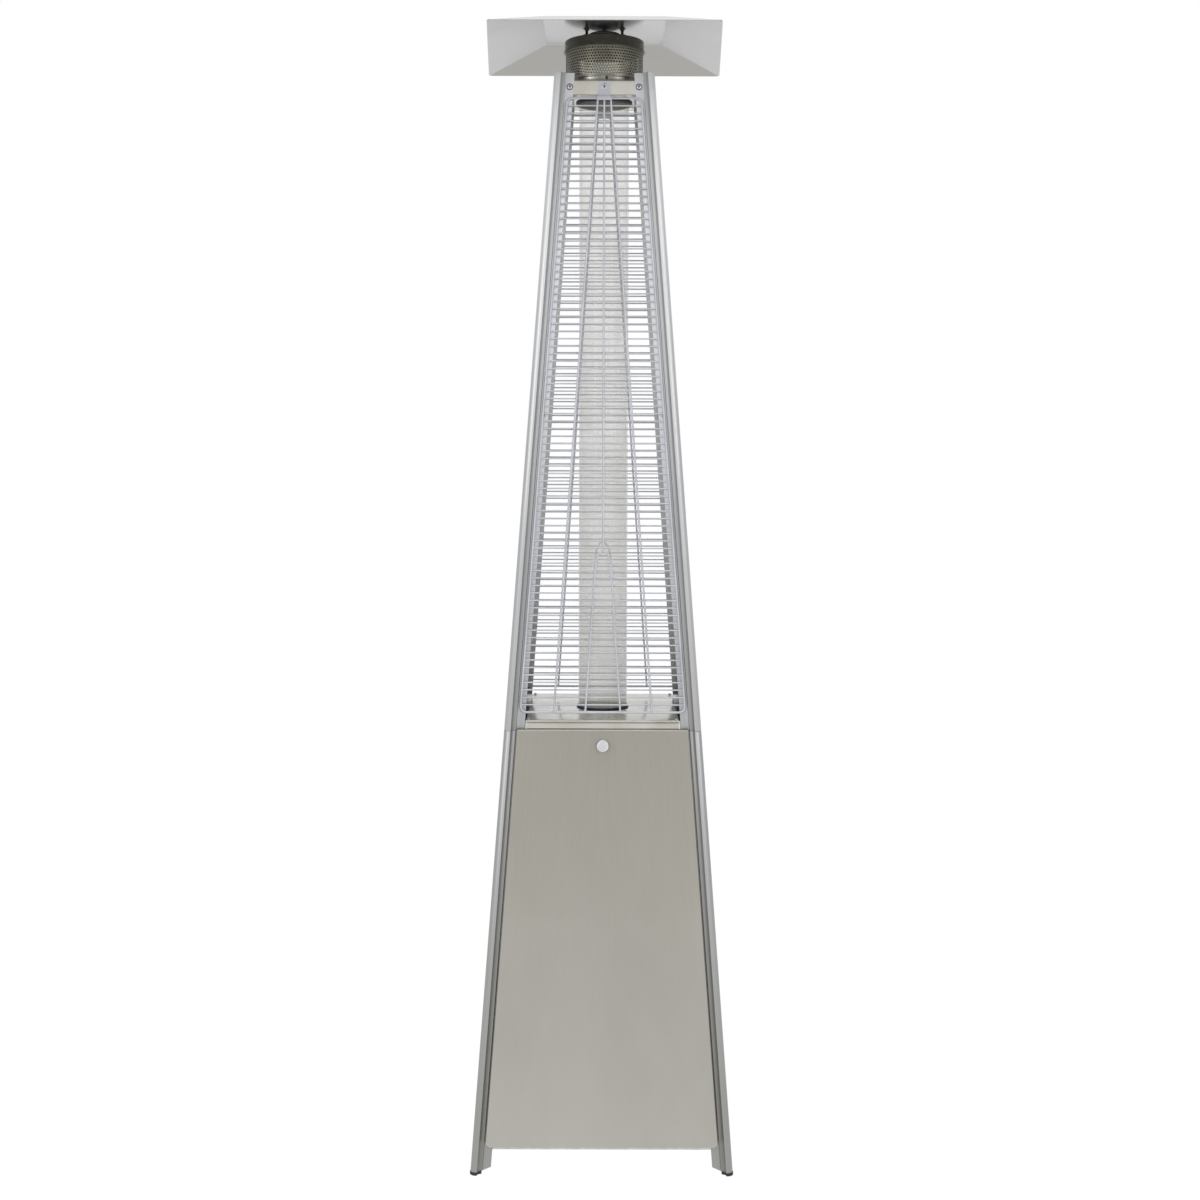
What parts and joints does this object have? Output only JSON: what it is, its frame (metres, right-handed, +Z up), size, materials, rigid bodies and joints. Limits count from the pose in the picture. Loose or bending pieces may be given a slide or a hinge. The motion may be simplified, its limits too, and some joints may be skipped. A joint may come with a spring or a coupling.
{
  "type": "outdoor heater",
  "caption": "Square pyramid gas patio heater: leaning corner posts, drop-down door over the cylinder bay, glass flame tube behind wire guards, square folded reflector.",
  "frame": {"origin": "middle of the four feet, on the floor", "axes": "+Z up, the door faces -Y, +X to the viewer's right"},
  "size_m": [0.5216, 0.5216, 2.2748],
  "materials": {
    "leg_aluminium": "satin extruded",
    "foot_rubber": "matte",
    "brushed_steel": "brushed upright",
    "polished_steel": "polished sheet",
    "black_enamel": "satin black heat-proof paint",
    "borosilicate_glass": "clear, lightly hazed",
    "guard_paint": "silver paint",
    "burnt_steel": "heat-tinted stainless steel",
    "stud_steel": "dark heat-tinted steel",
    "reflector_aluminium": "matte sheet",
    "brass": "machined",
    "zinc_steel": "zinc plated",
    "black_plastic": "moulded",
    "pull_chrome": "bright"
  },
  "bodies": {
    "heater_frame": {"base_tray": "zinc_steel", "burner_box": "black_enamel", "burner_cup": "burnt_steel", "burner_top_plate": "polished_steel", "cap_disc": "stud_steel", "control_panel": "black_enamel", "door_hinge_left": "zinc_steel", "door_hinge_right": "zinc_steel", "door_magnet": "black_plastic", "flame_screen": "burnt_steel", "foot_cap_front_left": "foot_rubber", "foot_cap_front_right": "foot_rubber", "foot_cap_rear_left": "foot_rubber", "foot_cap_rear_right": "foot_rubber", "gas_inlet_fitting": "brass", "gas_valve": "zinc_steel", "glass_ring_top": "black_enamel", "glass_seal_bottom": "black_enamel", "glass_tube": "borosilicate_glass", "guard_clip_front": "guard_paint", "guard_clip_left": "guard_paint", "guard_clip_rear": "guard_paint", "guard_clip_right": "guard_paint", "guard_front": "guard_paint", "guard_left": "guard_paint", "guard_rear": "guard_paint", "guard_right": "guard_paint", "head_plate": "polished_steel", "igniter_body": "black_plastic", "lower_leg_front_left": "leg_aluminium", "lower_leg_front_right": "leg_aluminium", "lower_leg_rear_left": "leg_aluminium", "lower_leg_rear_right": "leg_aluminium", "mixing_tube": "burnt_steel", "pilot_burner": "brass", "rear_panel": "brushed_steel", "reflector": "reflector_aluminium", "reflector_stud_front_left": "stud_steel", "reflector_stud_front_right": "stud_steel", "reflector_stud_rear": "stud_steel", "screen_cap": "burnt_steel", "screen_neck": "polished_steel", "side_panel_left": "brushed_steel", "side_panel_right": "brushed_steel", "spark_electrode": "black_plastic", "supply_pipe": "brass", "thermocouple": "zinc_steel", "tilt_switch": "black_plastic", "top_support": "polished_steel", "upper_leg_front_left": "leg_aluminium", "upper_leg_front_right": "leg_aluminium", "upper_leg_rear_left": "leg_aluminium", "upper_leg_rear_right": "leg_aluminium"},
    "door": {"door_panel": "brushed_steel", "door_knob": "pull_chrome"},
    "gas_stem": {"valve_stem": "zinc_steel"},
    "gas_knob": {"control_knob": "black_plastic"},
    "igniter": {"igniter_button": "black_plastic"}
  },
  "joints": [
    {"name": "door_hinge", "type": "hinge", "parent": "heater_frame", "child": "door", "pos_m": [0, -0.24752, 0.0572], "axis": [1, 0, 0], "range_deg": [0, 80]},
    {"name": "stem_push", "type": "slide", "parent": "heater_frame", "child": "gas_stem", "axis": [0, 1, 0], "range_m": [0, 0.003], "stiffness_N_per_m": 400, "springref_m": -0.003},
    {"name": "knob_turn", "type": "hinge", "parent": "gas_stem", "child": "gas_knob", "pos_m": [-0.035, -0.15, 0.757], "axis": [0, -1, 0], "range_deg": [0, 210]},
    {"name": "igniter_push", "type": "slide", "parent": "heater_frame", "child": "igniter", "axis": [0, 1, 0], "range_m": [0, 0.004], "stiffness_N_per_m": 600, "springref_m": -0.003}
  ]
}
